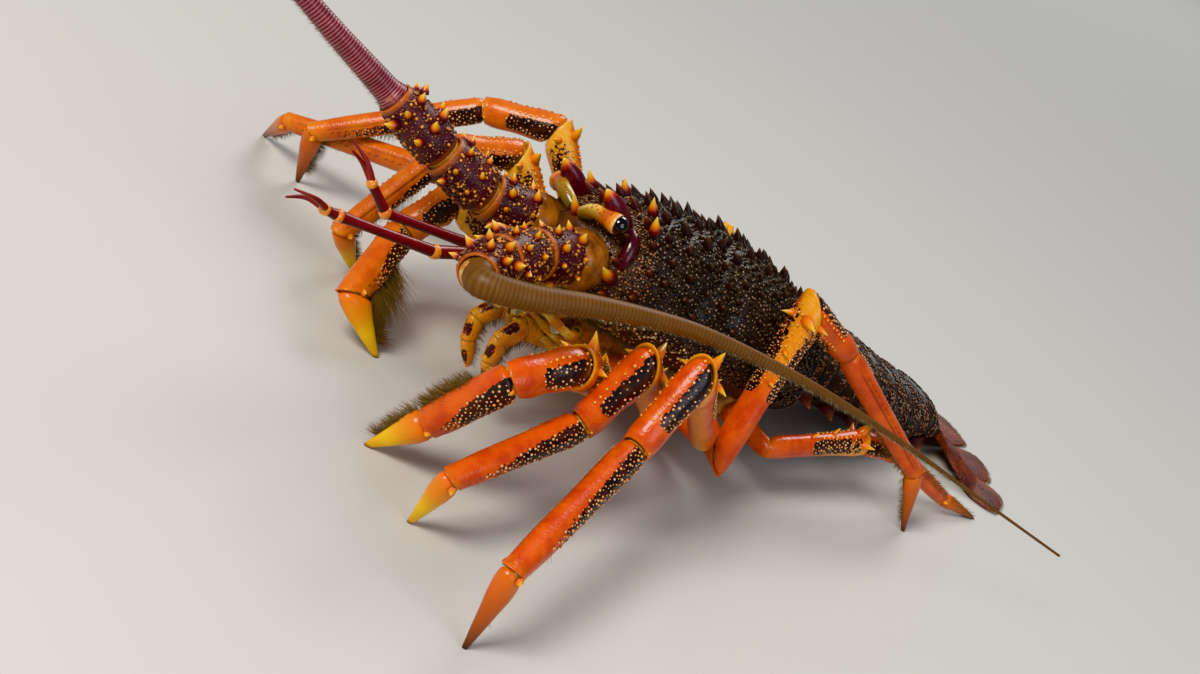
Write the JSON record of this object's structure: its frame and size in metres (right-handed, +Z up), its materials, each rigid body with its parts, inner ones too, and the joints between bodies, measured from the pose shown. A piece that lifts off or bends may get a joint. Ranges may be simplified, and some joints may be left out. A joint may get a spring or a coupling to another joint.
{
  "type": "spiny lobster",
  "caption": "Life-size still model of a red rock lobster: spined carapace, horns over the eyes, long whip antennae, slender walking legs, ringed abdomen and open tail fan.",
  "frame": {"origin": "middle of the bounding box in X and Y, at the level of the floor that the feet stand on", "axes": "+Z up, the head and the antennae point to -Y, the left side of the animal is at +X"},
  "size_m": [0.3232, 0.6186, 0.1695],
  "materials": {
    "shell": "dark purple-brown chitin with pale specks and red-tipped spines, satin",
    "leg": "bright orange chitin with dark granular patches, smooth satin",
    "claw": "orange to yellow horny claw with bristles",
    "feeler": "purple-red ringed feeler",
    "mouth": "pale orange-yellow chitin with dark patches",
    "eye": "black, wet gloss"
  },
  "bodies": {
    "root": {"carapace": "shell", "underside": "mouth", "eye_left": "eye", "antenna_stem_left": "shell", "antenna_whip_base_left": "feeler", "antenna_whip_tip_left": "feeler", "antennule_left": "feeler", "jaw_leg_left": "mouth", "leg_left_1_upper": "leg", "leg_left_1_lower": "leg", "leg_left_1_foot": "claw", "leg_left_2_upper": "leg", "leg_left_2_lower": "leg", "leg_left_2_foot": "claw", "leg_left_3_upper": "leg", "leg_left_3_lower": "leg", "leg_left_3_foot": "claw", "leg_left_4_upper": "leg", "leg_left_4_lower": "leg", "leg_left_4_foot": "claw", "leg_left_5_upper": "leg", "leg_left_5_lower": "leg", "leg_left_5_foot": "claw", "eye_right": "eye", "antenna_stem_right": "shell", "antenna_whip_base_right": "feeler", "antenna_whip_tip_right": "feeler", "antennule_right": "feeler", "jaw_leg_right": "mouth", "leg_right_1_upper": "leg", "leg_right_1_lower": "leg", "leg_right_1_foot": "claw", "leg_right_2_upper": "leg", "leg_right_2_lower": "leg", "leg_right_2_foot": "claw", "leg_right_3_upper": "leg", "leg_right_3_lower": "leg", "leg_right_3_foot": "claw", "leg_right_4_upper": "leg", "leg_right_4_lower": "leg", "leg_right_4_foot": "claw", "leg_right_5_upper": "leg", "leg_right_5_lower": "leg", "leg_right_5_foot": "claw", "abdomen_1": "shell", "abdomen_2": "shell", "abdomen_3": "shell", "abdomen_4": "shell", "abdomen_5": "shell", "abdomen_6": "shell", "telson": "shell", "uropod_inner_left": "shell", "uropod_outer_left": "shell", "uropod_inner_right": "shell", "uropod_outer_right": "shell"}
  },
  "joints": []
}
